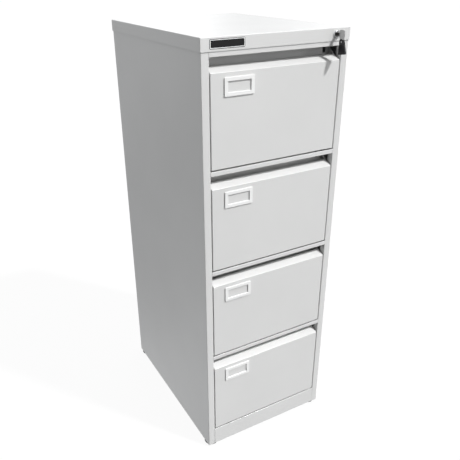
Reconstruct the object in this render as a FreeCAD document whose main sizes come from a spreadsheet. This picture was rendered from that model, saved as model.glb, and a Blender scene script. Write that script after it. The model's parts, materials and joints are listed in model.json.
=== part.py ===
import FreeCAD, Part
import math
import os
import Sketcher

# A four-drawer steel filing cabinet: a folded-sheet carcass under a lipped cap, four drawers on
# telescopic runners, and a cam lock in the cap that lifts a bar whose hooks hold every drawer.
# Axes: +X to the cabinet's right as one faces it, +Y to its back, +Z up. The origin is on the floor
# at the middle of the footprint. All lengths are in millimetres.

DRAWER_COUNT = 4

SIZES = {
    # whole cabinet
    "overall_width": 460, "overall_depth": 620, "overall_height": 1321,
    # sheet
    "panel_gauge": 0.9, "drawer_gauge": 0.8, "frame_gauge": 1.2,
    # cap and carcass front
    "cap_overhang": 2, "cap_lip": 34, "stile_width": 23, "stile_return": 20, "rear_flange": 20,
    "rail_height": 13, "rail_depth": 20, "plinth_top": 71, "base_upturn": 15,
    # feet
    "foot_height": 8, "foot_radius": 23, "foot_side_inset": 22, "foot_end_inset": 26,
    "foot_stem_radius": 4, "foot_stem_rise": 12, "stem_clearance": 0.2,
    # uprights inside the carcass
    "upright_setback": 30, "upright_depth": 36, "upright_inset": 1, "upright_foot": 30,
    "upright_head_gap": 16,
    # drawer front
    "drawer_side_gap": 3, "drawer_bottom_gap": 4, "handle_drop": 38, "lip_run": 26, "lip_rise": 14,
    "lip_hem": 8, "pan_depth": 20, "pan_upturn": 14, "cheek_depth": 47, "cheek_rise": 32,
    "cheek_drop": 20,
    # handle channel behind the lip
    "channel_depth": 47.8, "channel_drop": 40, "channel_flange": 12, "channel_top_gap": 4,
    "channel_hem": 8, "channel_key_gap": 5,
    # drawer tub
    "tub_lift": 6, "tub_rise": 16, "tub_back_gap": 46.4, "file_rail": 10, "back_drop": 2, "back_hem": 10,
    # runners
    "slide_thickness": 12.7, "runner_back_gap": 44.2, "outer_height": 45, "outer_reach": 10.6,
    "runner_gauge": 1.2, "runner_gap": 0.6, "middle_height": 34.8, "middle_reach": 7.6,
    "middle_shorter": 40, "inner_height": 24.8, "inner_reach": 8.7, "inner_setback": 2,
    "inner_shorter": 10, "rivet_radius": 4, "rivet_tail": 2.5,
    # badge and label holders
    "badge_width": 100, "badge_height": 23, "badge_thickness": 0.8, "badge_inset": 25.5,
    "badge_corner": 3, "holder_width": 88.5, "holder_height": 47.5, "holder_depth": 3.4,
    "holder_drop": 12.5, "holder_inset": 38.5, "window_width": 69, "window_height": 28,
    "label_margin": 3, "label_slot": 1.2,
    # lock in the cap's front lip
    "lock_inset": 47, "barrel_radius": 9.5, "barrel_length": 19, "flange_radius": 11,
    "flange_thickness": 3, "plug_radius": 6.5, "plug_proud": 0.5, "plug_tail": 2,
    "running_clearance": 0.05, "hole_clearance": 0.1, "clip_radius": 14, "clip_thickness": 1.5,
    "cam_radius": 12.5, "cam_thickness": 2, "crank_radius": 8.5, "crank_pin_radius": 2,
    "crank_pin_length": 10.5,
    # lock bar
    "bar_width": 14, "bar_thickness": 2, "bar_side_gap": 4, "bar_front_gap": 5, "bar_tail": 10,
    "hook_height": 10, "hook_reach": 13, "hook_thickness": 1.5, "catch_gap": 3,
    "catch_height": 20, "catch_rise": 52, "catch_drop": 21, "catch_width": 9.7,
    "catch_thickness": 1.5, "catch_play": 3.5, "catch_hold": 12,
    "arm_height": 14, "arm_overlap": 7, "slot_clearance": 0.5, "slot_travel": 2.6,
    "guide_clearance": 0.6, "guide_height": 12,
    # folding key
    "key_thickness": 2, "blade_height": 8, "blade_depth": 19, "keyway_clearance": 0.2,
    "bow_gap": 8.5, "bow_width": 19, "bow_height": 19, "bow_rise": 12, "lug_width": 12,
    "pivot_setback": 11, "pivot_drop": 17.5, "pivot_radius": 1.5, "pivot_overhang": 0.5,
    "head_thickness": 5, "fork_gap": 2.4, "head_top": 7, "head_drop": 32.5,
    "head_top_width": 14, "head_foot_width": 30, "fork_depth": 8,
}

CRANK_ANGLE = math.radians(45)      # the crank pin's angle below the lock's axis at rest
CRANK_SWING = math.radians(90)      # how far the key turns
HEAD_LEAN = math.radians(8)         # how far the key's stiffly hinged head leans forwards at rest

doc = FreeCAD.newDocument("filing_cabinet")
sheet = doc.addObject("Spreadsheet::Sheet", "Sizes")
for row, (alias, number) in enumerate(SIZES.items(), start=1):
    sheet.set(f"A{row}", str(number))
    sheet.setAlias(f"A{row}", alias)
doc.recompute()


class Size:
    """A length that knows its value and the expression on the sheet that gives it."""

    def __init__(self, value, text):
        self.value = float(value)
        self.text = text

    @staticmethod
    def of(number):
        return number if isinstance(number, Size) else Size(number, f"({float(number):.9g})")

    def joined(self, sign, other, value):
        return Size(value, f"({self.text} {sign} {other.text})")

    def __add__(self, other):
        other = Size.of(other)
        return self.joined("+", other, self.value + other.value)

    def __sub__(self, other):
        other = Size.of(other)
        return self.joined("-", other, self.value - other.value)

    def __mul__(self, other):
        other = Size.of(other)
        return self.joined("*", other, self.value * other.value)

    def __truediv__(self, other):
        other = Size.of(other)
        return self.joined("/", other, self.value / other.value)

    def __radd__(self, other):
        return Size.of(other) + self

    def __rsub__(self, other):
        return Size.of(other) - self

    def __rmul__(self, other):
        return Size.of(other) * self

    def __neg__(self):
        return Size.of(-1) * self


class Sheet:
    """Gives each alias of the sheet as a Size, by attribute."""

    def __getattr__(self, alias):
        return Size(sheet.get(alias), f"Sizes.{alias}")


s = Sheet()
ZERO = Size.of(0)

# ---------------------------------------------------------------- building blocks

PLANE_ROLE = {"XY": "XY_Plane", "XZ": "XZ_Plane", "YZ": "YZ_Plane"}


def new_body(label, lift=ZERO):
    """An empty body with its label and its height in the cabinet."""
    body = doc.addObject("PartDesign::Body", label)
    body.Label = label
    body.setExpression("Placement.Base.z", Size.of(lift).text)
    return body


def new_sketch(body, name, plane, level):
    """A sketch on an origin plane of the body, moved along its axis to a level."""
    sketch = body.newObject("Sketcher::SketchObject", name)
    origin_plane = next(o for o in body.Origin.OriginFeatures if o.Role == PLANE_ROLE[plane])
    sketch.AttachmentSupport = [(origin_plane, "")]
    sketch.MapMode = "FlatFace"
    along_normal = -Size.of(level) if plane == "XZ" else Size.of(level)
    sketch.setExpression("AttachmentOffset.Base.z", along_normal.text)
    return sketch


def pin_point(sketch, geometry, vertex, point):
    """Ties one point of the sketch to its two expressions."""
    for kind, coordinate in zip(("DistanceX", "DistanceY"), point):
        coordinate = Size.of(coordinate)
        constraint = Sketcher.Constraint(kind, -1, 1, geometry, vertex, coordinate.value)
        index = sketch.addConstraint(constraint)
        sketch.setExpression(f"Constraints[{index}]", coordinate.text)


def draw_polygon(sketch, points):
    """A closed outline of straight lines through the points."""
    values = [FreeCAD.Vector(Size.of(a).value, Size.of(b).value, 0) for a, b in points]
    count = len(points)
    first = sketch.GeometryCount
    for i in range(count):
        sketch.addGeometry(Part.LineSegment(values[i], values[(i + 1) % count]), False)
    for i in range(count):
        following = first + (i + 1) % count
        sketch.addConstraint(Sketcher.Constraint("Coincident", first + i, 2, following, 1))
    for i, point in enumerate(points):
        pin_point(sketch, first + i, 1, point)


def draw_circle(sketch, centre, radius):
    """A circle tied to its centre and radius."""
    radius = Size.of(radius)
    middle = FreeCAD.Vector(Size.of(centre[0]).value, Size.of(centre[1]).value, 0)
    circle = Part.Circle(middle, FreeCAD.Vector(0, 0, 1), radius.value)
    index = sketch.addGeometry(circle, False)
    pin_point(sketch, index, 3, centre)
    constraint = sketch.addConstraint(Sketcher.Constraint("Radius", index, radius.value))
    sketch.setExpression(f"Constraints[{constraint}]", radius.text)


def rectangle(low, high):
    """The four corners between two opposite corners."""
    return [low, (high[0], low[1]), high, (low[0], high[1])]


def draw(sketch, outlines):
    """Draws each outline: a list of points, or a (centre, radius) pair for a circle."""
    for outline in outlines:
        if len(outline) == 2:
            draw_circle(sketch, *outline)
        else:
            draw_polygon(sketch, outline)


def pad(body, name, plane, outlines, low, high):
    """Adds the outlines' area to the body, from low to high along the plane's axis."""
    low, high = Size.of(low), Size.of(high)
    sketch = new_sketch(body, f"{name}_sketch", plane, high if plane == "XZ" else low)
    draw(sketch, outlines)
    feature = body.newObject("PartDesign::Pad", name)
    feature.Profile = sketch
    feature.setExpression("Length", (high - low).text)
    doc.recompute()
    return feature


def pocket(body, name, plane, outlines, low, high):
    """Cuts the outlines' area out of the body, from low to high, and tests that it cut."""
    low, high = Size.of(low), Size.of(high)
    before = body.Shape.Volume
    sketch = new_sketch(body, f"{name}_sketch", plane, low if plane == "XZ" else high)
    draw(sketch, outlines)
    feature = body.newObject("PartDesign::Pocket", name)
    feature.Profile = sketch
    feature.setExpression("Length", (high - low).text)
    doc.recompute()
    if not feature.Shape.Volume < before:
        raise RuntimeError(f"{name} cut nothing from {body.Label}")
    return feature


def mirrored(body, name, feature):
    """Repeats a feature of the body on the other side of the cabinet's middle plane."""
    mirror = body.newObject("PartDesign::Mirrored", name)
    mirror.Originals = [feature]
    middle = next(o for o in body.Origin.OriginFeatures if o.Role == "YZ_Plane")
    mirror.MirrorPlane = (middle, [""])
    body.Tip = mirror
    doc.recompute()
    return mirror


def fold(path, gauge):
    """The outline of a folded sheet: its outer face along the path, its gauge to the left.

    A negative gauge puts the sheet on the path's right.
    """
    gauge = Size.of(gauge)
    values = [(Size.of(a).value, Size.of(b).value) for a, b in path]
    normals = []
    for (ax, ay), (bx, by) in zip(values, values[1:]):
        length = math.hypot(bx - ax, by - ay)
        normals.append(((ay - by) / length, (bx - ax) / length))
    inner = []
    for i, (a, b) in enumerate(path):
        before = normals[max(i - 1, 0)]
        after = normals[min(i, len(normals) - 1)]
        spread = 1 + before[0] * after[0] + before[1] * after[1]
        shift = [(before[k] + after[k]) / spread for k in (0, 1)]
        inner.append((a + gauge * shift[0], b + gauge * shift[1]))
    return list(path) + inner[::-1]


def folded_sheet(label, plane, path, gauge, low, high, lift=ZERO):
    """A body folded from one sheet, straight along the plane's axis from low to high."""
    body = new_body(label, lift)
    pad(body, f"{label}_fold", plane, [fold(path, gauge)], low, high)
    return body


def box(label, low, high, lift=ZERO):
    """A plain block between two opposite corners."""
    block = doc.addObject("Part::Box", label)
    block.Label = label
    low, high = [[Size.of(c) for c in corner] for corner in (low, high)]
    for side, a, b in zip(("Length", "Width", "Height"), low, high):
        block.setExpression(side, (b - a).text)
    low[2] = low[2] + lift
    for axis, a in zip("xyz", low):
        block.setExpression(f"Placement.Base.{axis}", a.text)
    return block


TURN = {
    "X": FreeCAD.Rotation(FreeCAD.Vector(0, 1, 0), 90),
    "Y": FreeCAD.Rotation(FreeCAD.Vector(1, 0, 0), -90),
    "Z": FreeCAD.Rotation(),
}


def cylinder(label, axis, start, length, radius):
    """A round bar from its start point, along +X, +Y or +Z."""
    bar = doc.addObject("Part::Cylinder", label)
    bar.Label = label
    bar.Placement = FreeCAD.Placement(FreeCAD.Vector(), TURN[axis])
    bar.setExpression("Radius", Size.of(radius).text)
    bar.setExpression("Height", Size.of(length).text)
    for name, coordinate in zip("xyz", start):
        bar.setExpression(f"Placement.Base.{name}", Size.of(coordinate).text)
    return bar


def joined(label, pieces):
    """One solid out of pieces that meet."""
    fuse = doc.addObject("Part::MultiFuse", label)
    fuse.Label = label
    fuse.Shapes = pieces
    fuse.Refine = True
    return fuse


def cut(label, base, tool):
    """The base less the tool."""
    result = doc.addObject("Part::Cut", label)
    result.Label = label
    result.Base = base
    result.Tool = tool
    return result


def group(label, pieces):
    """Separate solids that share one node."""
    compound = doc.addObject("Part::Compound", label)
    compound.Label = label
    compound.Links = pieces
    return compound


def opposite(label, piece):
    """The same piece on the other side of the cabinet's middle plane."""
    mirror = doc.addObject("Part::Mirroring", label)
    mirror.Label = label
    mirror.Source = piece
    mirror.Base = FreeCAD.Vector(0, 0, 0)
    mirror.Normal = FreeCAD.Vector(1, 0, 0)
    return mirror


NODES = []


def node(piece):
    """Marks a finished sub-part, which is written under its label."""
    NODES.append(piece)
    return piece


# ---------------------------------------------------------------- shared planes

half_width = s.overall_width / 2
half_depth = s.overall_depth / 2
side_x = half_width - s.cap_overhang            # outer face of a side panel
side_inner_x = side_x - s.panel_gauge
front_y = s.cap_overhang - half_depth           # outer face of stiles, rails and drawer fronts
rear_y = half_depth - s.cap_overhang
back_panel_y = rear_y - s.panel_gauge           # rear face of the back panel
back_inner_y = back_panel_y - s.panel_gauge
carcass_top = s.overall_height - s.panel_gauge
cap_bottom = s.overall_height - s.cap_lip
opening_x = side_x - s.stile_width              # half of the clear opening
return_y = front_y + s.stile_return             # rear edge of the stiles' returns
top_rail_bottom = cap_bottom - s.rail_height

openings_height = top_rail_bottom - s.plinth_top - s.rail_height * (DRAWER_COUNT - 1)
opening_height = openings_height / DRAWER_COUNT
pitch = opening_height + s.rail_height


def opening_bottom(number):
    """Height of the bottom edge of a drawer's opening; drawer 1 is the top one."""
    return s.plinth_top + pitch * (DRAWER_COUNT - number)


upright_y = front_y + s.upright_setback
upright_x = opening_x + s.upright_inset
tub_x = upright_x - s.slide_thickness
tub_front_y = front_y + s.channel_depth
tub_back_y = back_inner_y - s.tub_back_gap
runner_end_y = back_inner_y - s.runner_back_gap

# heights inside a drawer, measured from the bottom edge of its opening
fold_z = opening_height - s.handle_drop
face_x = opening_x - s.drawer_side_gap
face_bottom = s.drawer_bottom_gap
channel_bottom = fold_z - s.channel_drop
channel_top = opening_height - s.channel_top_gap
tub_top = fold_z + s.tub_rise
catch_top = channel_bottom - s.catch_drop
catch_bottom = catch_top - s.catch_height
runner_z = catch_bottom - s.catch_rise
hook_top = catch_bottom - s.catch_gap

# the lock bar's plate and the hooks behind it, between the stile's return and the front upright
bar_y = return_y + s.bar_front_gap
bar_end_y = bar_y + s.bar_thickness
hook_end_y = bar_end_y + s.hook_thickness

# lock axis and the crank pin's place at rest
lock_x = half_width - s.lock_inset
lock_z = s.overall_height - s.cap_lip / 2
crank_x = lock_x + s.crank_radius * math.cos(CRANK_ANGLE)
crank_z = lock_z - s.crank_radius * math.sin(CRANK_ANGLE)

# ---------------------------------------------------------------- carcass


def side_path(hand):
    """Plan of a side panel: return, stile, side wall and rear flange; hand is +1 on the right."""
    return [
        (hand * opening_x, return_y),
        (hand * opening_x, front_y),
        (hand * side_x, front_y),
        (hand * side_x, rear_y),
        (hand * (side_x - s.rear_flange), rear_y),
    ]


for label, hand in (("left_side_panel", -1), ("right_side_panel", 1)):
    gauge = s.panel_gauge * hand
    node(folded_sheet(label, "XY", side_path(hand), gauge, s.foot_height, carcass_top))

node(box(
    "back_panel",
    (-side_inner_x, back_inner_y, s.foot_height),
    (side_inner_x, back_panel_y, carcass_top),
))

top_cap = new_body("top_cap")
cap_outline = rectangle((-half_width, -half_depth), (half_width, half_depth))
pad(top_cap, "cap_block", "XY", [cap_outline], cap_bottom, s.overall_height)
cap_inner_x = half_width - s.panel_gauge
cap_inner_y = half_depth - s.panel_gauge
cap_hollow = rectangle((-cap_inner_x, -cap_inner_y), (cap_inner_x, cap_inner_y))
pocket(top_cap, "cap_hollow", "XY", [cap_hollow], cap_bottom, carcass_top)
barrel_hole = ((lock_x, lock_z), s.barrel_radius + s.hole_clearance)
pocket(top_cap, "cap_lock_hole", "XZ", [barrel_hole], -half_depth, -cap_inner_y)
node(top_cap)


def channel_path(bottom, top, depth):
    """A channel open to the back: lower flange, face and upper flange."""
    return [
        (front_y + depth, bottom),
        (front_y, bottom),
        (front_y, top),
        (front_y + s.rail_depth, top),
    ]


top_rail_path = channel_path(top_rail_bottom, carcass_top, s.rail_depth)
top_rail = folded_sheet("top_rail", "YZ", top_rail_path, -s.panel_gauge, -opening_x, opening_x)
pocket(top_rail, "rail_lock_hole", "XZ", [barrel_hole], front_y, front_y + s.panel_gauge)
node(top_rail)

rails = []
for number in range(1, DRAWER_COUNT):
    rail_bottom = opening_bottom(number) - s.rail_height
    path = channel_path(rail_bottom, opening_bottom(number), s.rail_depth)
    rails.append(folded_sheet(f"rail_under_{number}", "YZ", path, -s.panel_gauge, -opening_x, opening_x))
node(group("cross_rails", rails))

plinth_path = channel_path(s.foot_height, s.plinth_top, s.rail_depth)
node(folded_sheet("plinth", "YZ", plinth_path, -s.panel_gauge, -opening_x, opening_x))

foot_x = side_x - s.foot_side_inset
foot_y = rear_y - s.foot_end_inset
foot_places = [(sx * foot_x, sy * foot_y) for sx in (-1, 1) for sy in (-1, 1)]

tray_path = [
    (return_y, s.foot_height + s.base_upturn),
    (return_y, s.foot_height),
    (back_inner_y, s.foot_height),
    (back_inner_y, s.foot_height + s.base_upturn),
]
base_tray = folded_sheet("base_tray", "YZ", tray_path, s.panel_gauge, -side_inner_x, side_inner_x)
stem_hole = s.foot_stem_radius + s.stem_clearance
tray_top = s.foot_height + s.panel_gauge
stem_holes = [(place, stem_hole) for place in foot_places]
pocket(base_tray, "foot_holes", "XY", stem_holes, s.foot_height, tray_top)
node(base_tray)

feet = []
for number, (x, y) in enumerate(foot_places, start=1):
    glide = cylinder(f"foot_glide_{number}", "Z", (x, y, 0), s.foot_height, s.foot_radius)
    stem_height = s.foot_height + s.foot_stem_rise
    stem = cylinder(f"foot_stem_{number}", "Z", (x, y, 0), stem_height, s.foot_stem_radius)
    feet.append(joined(f"foot_{number}", [glide, stem]))
node(group("feet", feet))

upright_top = top_rail_bottom - s.upright_head_gap


def upright(label, near_y):
    """A right-hand upright: a channel that stands against the side panel, its web to the drawers."""
    far_y = near_y + s.upright_depth
    path = [(side_inner_x, near_y), (upright_x, near_y), (upright_x, far_y), (side_inner_x, far_y)]
    return folded_sheet(label, "XY", path, -s.frame_gauge, s.upright_foot, upright_top)


rear_upright_y = runner_end_y - s.upright_depth
for place, near_y in (("front", upright_y), ("rear", rear_upright_y)):
    right = upright(f"right_{place}_upright", near_y)
    node(group(f"{place}_uprights", [right, opposite(f"left_{place}_upright", right)]))

badge = new_body("badge")
badge_left = s.badge_inset - half_width
badge_low = (badge_left, lock_z - s.badge_height / 2)
badge_high = (badge_left + s.badge_width, lock_z + s.badge_height / 2)
badge_front_y = -half_depth - s.badge_thickness
badge_plate = pad(badge, "badge_plate", "XZ", [rectangle(badge_low, badge_high)], badge_front_y, -half_depth)
badge_corners = badge.newObject("PartDesign::Fillet", "badge_corners")
across = [
    f"Edge{i}" for i, edge in enumerate(badge_plate.Shape.Edges, start=1)
    if abs(edge.tangentAt(edge.FirstParameter).y) > 0.5
]
badge_corners.Base = (badge_plate, across)
badge_corners.setExpression("Radius", "Sizes.badge_corner")
node(badge)

# ---------------------------------------------------------------- runners


def runner_path(web_x, reach, height):
    """Section of a right-hand runner member, from its upper lip over the web to its lower lip."""
    lip_x = web_x + reach
    half = height / 2
    return [(lip_x, runner_z + half), (web_x, runner_z + half),
            (web_x, runner_z - half), (lip_x, runner_z - half)]


def runner_pair(label, path, gauge, low, high, lift):
    """A right-hand runner member and its opposite, as one node."""
    right = folded_sheet(f"{label}_right", "XZ", path, gauge, low, high, lift)
    return node(group(label, [right, opposite(f"{label}_left", right)]))


middle_x = upright_x - s.runner_gauge - s.runner_gap
middle_end_y = runner_end_y - s.middle_shorter
inner_y = upright_y + s.inner_setback
inner_end_y = runner_end_y - s.inner_shorter

for number in range(1, DRAWER_COUNT + 1):
    lift = opening_bottom(number)
    outer = runner_path(upright_x, -s.outer_reach, s.outer_height)
    runner_pair(f"outer_runners_{number}", outer, -s.runner_gauge, upright_y, runner_end_y, lift)
    middle = runner_path(middle_x, -s.middle_reach, s.middle_height)
    runner_pair(f"middle_runners_{number}", middle, -s.runner_gauge, upright_y, middle_end_y, lift)
    inner = runner_path(tub_x, s.inner_reach, s.inner_height)
    runner_pair(f"inner_runners_{number}", inner, s.runner_gauge, inner_y, inner_end_y, lift)

rivets = []
rivet_x = upright_x + s.frame_gauge
for number in range(1, DRAWER_COUNT + 1):
    for place, near_y in (("front", upright_y), ("rear", rear_upright_y)):
        middle_y = near_y + s.upright_depth / 2
        start = (rivet_x, middle_y, opening_bottom(number) + runner_z)
        label = f"rivet_{place}_{number}"
        tail = cylinder(f"{label}_right", "X", start, s.rivet_tail, s.rivet_radius)
        rivets += [tail, opposite(f"{label}_left", tail)]
node(group("runner_rivets", rivets))

# ---------------------------------------------------------------- drawers


def drawer_front(label, lift):
    """The outer pan: bottom flange, face, sloping lip with its hem, and an end cheek each side."""
    lip_y = front_y + s.lip_run
    lip_z = fold_z + s.lip_rise
    path = [
        (tub_front_y, face_bottom + s.pan_upturn),
        (tub_front_y, face_bottom),
        (front_y, face_bottom),
        (front_y, fold_z),
        (lip_y, lip_z),
        (lip_y, lip_z - s.lip_hem),
    ]
    body = folded_sheet(label, "YZ", path, -s.drawer_gauge, -face_x, face_x, lift)
    pan_y = front_y + s.pan_depth
    cheek_y = front_y + s.cheek_depth
    cheek = [
        (front_y, face_bottom),
        (pan_y, face_bottom),
        (pan_y, fold_z - s.cheek_drop),
        (cheek_y, fold_z - s.cheek_drop),
        (cheek_y, fold_z + s.cheek_rise),
        (lip_y, lip_z),
        (front_y, fold_z),
    ]
    right = pad(body, f"{label}_cheek", "YZ", [cheek], face_x - s.drawer_gauge, face_x)
    mirrored(body, f"{label}_cheeks", right)
    return body


def handle_channel(label, lift):
    """The trough behind the lip, for the fingers; its wall is notched where the key hangs."""
    path = [
        (front_y + s.drawer_gauge, channel_bottom + s.channel_flange),
        (front_y + s.drawer_gauge, channel_bottom),
        (tub_front_y, channel_bottom),
        (tub_front_y, channel_top),
        (tub_front_y + s.channel_hem, channel_top),
    ]
    end_x = face_x - s.drawer_gauge
    body = folded_sheet(label, "YZ", path, s.drawer_gauge, -end_x, end_x, lift)
    notch = rectangle((lock_x - s.channel_key_gap, tub_top), (lock_x + s.channel_key_gap, channel_top))
    pocket(body, f"{label}_key_notch", "XZ", [notch], tub_front_y - s.drawer_gauge,
           tub_front_y + s.channel_hem)
    return body


def drawer_tub(label, lift):
    """Floor, two sides with their file rails, and the front wall."""
    rail_x = tub_x - s.file_rail
    path = [
        (-rail_x, tub_top),
        (-tub_x, tub_top),
        (-tub_x, s.tub_lift),
        (tub_x, s.tub_lift),
        (tub_x, tub_top),
        (rail_x, tub_top),
    ]
    body = folded_sheet(label, "XZ", path, s.drawer_gauge, tub_front_y, tub_back_y, lift)
    wall = rectangle((-tub_x, s.tub_lift), (tub_x, tub_top))
    pad(body, f"{label}_front_wall", "XZ", [wall], tub_front_y, tub_front_y + s.drawer_gauge)
    return body


def drawer_back(label, lift):
    """The rear wall, folded forwards along its top edge."""
    wall_top = tub_top - s.back_drop
    path = [
        (tub_back_y - s.back_hem, wall_top),
        (tub_back_y, wall_top),
        (tub_back_y, s.tub_lift + s.drawer_gauge),
    ]
    end_x = tub_x - s.drawer_gauge
    return folded_sheet(label, "YZ", path, -s.drawer_gauge, -end_x, end_x, lift)


def label_holder(label, lift):
    """A raised frame round a window, with a slot behind it for the card."""
    body = new_body(label, lift)
    left = s.holder_inset - face_x
    bottom = fold_z - s.holder_drop - s.holder_height
    frame = rectangle((left, bottom), (left + s.holder_width, bottom + s.holder_height))
    front = front_y - s.holder_depth
    pad(body, f"{label}_frame", "XZ", [frame], front, front_y)
    middle_x = left + s.holder_width / 2
    middle_z = bottom + s.holder_height / 2
    half_w, half_h = s.window_width / 2, s.window_height / 2
    window = rectangle((middle_x - half_w, middle_z - half_h), (middle_x + half_w, middle_z + half_h))
    pocket(body, f"{label}_window", "XZ", [window], front, front_y)
    slot_w, slot_h = half_w + s.label_margin, half_h + s.label_margin
    slot = rectangle((middle_x - slot_w, middle_z - slot_h), (middle_x + slot_w, middle_z + slot_h))
    pocket(body, f"{label}_card_slot", "XZ", [slot], front_y - s.label_slot, front_y)
    return body


def catch(label, lift):
    """The angle on the drawer's right side that the lock bar's hook holds."""
    near_y = hook_end_y + s.catch_play
    path = [
        (tub_x + s.catch_width, near_y),
        (tub_x, near_y),
        (tub_x, tub_front_y + s.catch_hold),
    ]
    return folded_sheet(label, "XY", path, -s.catch_thickness, catch_bottom, catch_top, lift)


for number in range(1, DRAWER_COUNT + 1):
    lift = opening_bottom(number)
    node(drawer_front(f"drawer_{number}_front", lift))
    node(handle_channel(f"drawer_{number}_handle_channel", lift))
    node(drawer_tub(f"drawer_{number}_tub", lift))
    node(drawer_back(f"drawer_{number}_back", lift))
    node(label_holder(f"drawer_{number}_label_holder", lift))
    node(catch(f"drawer_{number}_catch", lift))

# ---------------------------------------------------------------- lock

cap_front_y = -half_depth
flange_front_y = cap_front_y - s.flange_thickness
barrel_end_y = cap_front_y + s.barrel_length
plug_front_y = flange_front_y - s.plug_proud
plug_end_y = barrel_end_y + s.plug_tail
lock_axis = (lock_x, lock_z)

lock_barrel = new_body("lock_barrel")
bore = s.plug_radius + s.running_clearance
pad(lock_barrel, "barrel_flange", "XZ", [(lock_axis, s.flange_radius)], flange_front_y, cap_front_y)
pad(lock_barrel, "barrel_sleeve", "XZ", [(lock_axis, s.barrel_radius)], cap_front_y, barrel_end_y)
pocket(lock_barrel, "barrel_bore", "XZ", [(lock_axis, bore)], flange_front_y, barrel_end_y)
node(lock_barrel)

clip_y = front_y + s.panel_gauge
lock_clip = new_body("lock_clip")
clip_outlines = [(lock_axis, s.clip_radius), barrel_hole]
pad(lock_clip, "clip_ring", "XZ", clip_outlines, clip_y, clip_y + s.clip_thickness)
node(lock_clip)

key_half = s.key_thickness / 2
blade_half = s.blade_height / 2
way_x = key_half + s.keyway_clearance
way_z = blade_half + s.keyway_clearance
lock_plug = new_body("lock_plug")
pad(lock_plug, "plug_rod", "XZ", [(lock_axis, s.plug_radius)], plug_front_y, plug_end_y)
keyway = rectangle((lock_x - way_x, lock_z - way_z), (lock_x + way_x, lock_z + way_z))
keyway_end_y = barrel_end_y
pocket(lock_plug, "keyway", "XZ", [keyway], plug_front_y, keyway_end_y)
node(lock_plug)

cam_plate = cylinder("cam_plate", "Y", (lock_x, plug_end_y, lock_z), s.cam_thickness, s.cam_radius)
crank_length = s.cam_thickness + s.crank_pin_length
crank_pin = cylinder("crank_pin", "Y", (crank_x, plug_end_y, crank_z), crank_length, s.crank_pin_radius)
node(joined("lock_cam", [cam_plate, crank_pin]))

bar_x = opening_x + s.bar_side_gap
hook_low = hook_top - s.hook_height
arm_bottom = crank_z - s.arm_height / 2
arm_top = crank_z + s.arm_height / 2
bar_bottom = opening_bottom(DRAWER_COUNT) + hook_low - s.bar_tail
bar_end_x = bar_x + s.bar_width
node(box("lock_bar", (bar_x, bar_y, bar_bottom), (bar_end_x, bar_end_y, arm_top)))

hooks = []
for number in range(1, DRAWER_COUNT + 1):
    low = (bar_x - s.hook_reach, bar_end_y, hook_low)
    high = (bar_end_x, hook_end_y, hook_top)
    hooks.append(box(f"hook_{number}", low, high, opening_bottom(number)))
node(group("lock_hooks", hooks))

lock_arm = new_body("lock_arm")
arm_plate = rectangle((crank_x - s.arm_overlap, arm_bottom), (bar_end_x, arm_top))
pad(lock_arm, "arm_plate", "XZ", [arm_plate], bar_end_y, hook_end_y)
slot_half = s.crank_pin_radius + s.slot_clearance
slot = rectangle((crank_x - slot_half, crank_z - slot_half),
                 (crank_x + slot_half + s.slot_travel, crank_z + slot_half))
pocket(lock_arm, "arm_slot", "XZ", [slot], bar_end_y, hook_end_y)
node(lock_arm)

guides = []
guide_in_x = bar_x - s.guide_clearance
guide_out_x = bar_end_x + s.guide_clearance
guide_y = bar_y - s.guide_clearance
for number in range(1, DRAWER_COUNT):
    middle_z = opening_bottom(number) - s.rail_height / 2
    path = [
        (guide_in_x - s.frame_gauge, upright_y),
        (guide_in_x - s.frame_gauge, guide_y - s.frame_gauge),
        (guide_out_x + s.frame_gauge, guide_y - s.frame_gauge),
        (guide_out_x + s.frame_gauge, upright_y),
    ]
    half = s.guide_height / 2
    strap = folded_sheet(f"guide_{number}", "XY", path, s.frame_gauge, middle_z - half, middle_z + half)
    guides.append(strap)
node(group("lock_bar_guides", guides))

# ---------------------------------------------------------------- folding key

bow_end_y = plug_front_y - s.bow_gap
bow_y = bow_end_y - s.bow_width
blade_end_y = plug_front_y + s.blade_depth
pivot_y = bow_end_y - s.pivot_setback
pivot_z = lock_z - s.pivot_drop
bow_top = lock_z + s.bow_rise
bow_bottom = bow_top - s.bow_height
lug_half = s.lug_width / 2
key_x, key_end_x = lock_x - key_half, lock_x + key_half

key_blade = new_body("key_blade")
blade = rectangle((bow_end_y, lock_z - blade_half), (blade_end_y, lock_z + blade_half))
bow = rectangle((bow_y, bow_bottom), (bow_end_y, bow_top))
lug = rectangle((pivot_y - lug_half, pivot_z), (pivot_y + lug_half, bow_bottom))
pad(key_blade, "key_bow", "YZ", [bow], key_x, key_end_x)
pad(key_blade, "key_shank", "YZ", [blade], key_x, key_end_x)
pad(key_blade, "key_lug", "YZ", [lug], key_x, key_end_x)
pad(key_blade, "key_lug_end", "YZ", [((pivot_y, pivot_z), lug_half)], key_x, key_end_x)
pivot_hole = ((pivot_y, pivot_z), s.pivot_radius + s.running_clearance)
pocket(key_blade, "key_pivot_hole", "YZ", [pivot_hole], key_x, key_end_x)
node(key_blade)

head_half = s.head_thickness / 2
head_x, head_end_x = lock_x - head_half, lock_x + head_half
top_half, foot_half = s.head_top_width / 2, s.head_foot_width / 2


def leaning(across, up):
    """A point of the head, from its distances across and above the pivot when it hangs straight."""
    return (pivot_y + across * math.cos(HEAD_LEAN) + up * math.sin(HEAD_LEAN),
            pivot_z - across * math.sin(HEAD_LEAN) + up * math.cos(HEAD_LEAN))


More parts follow.
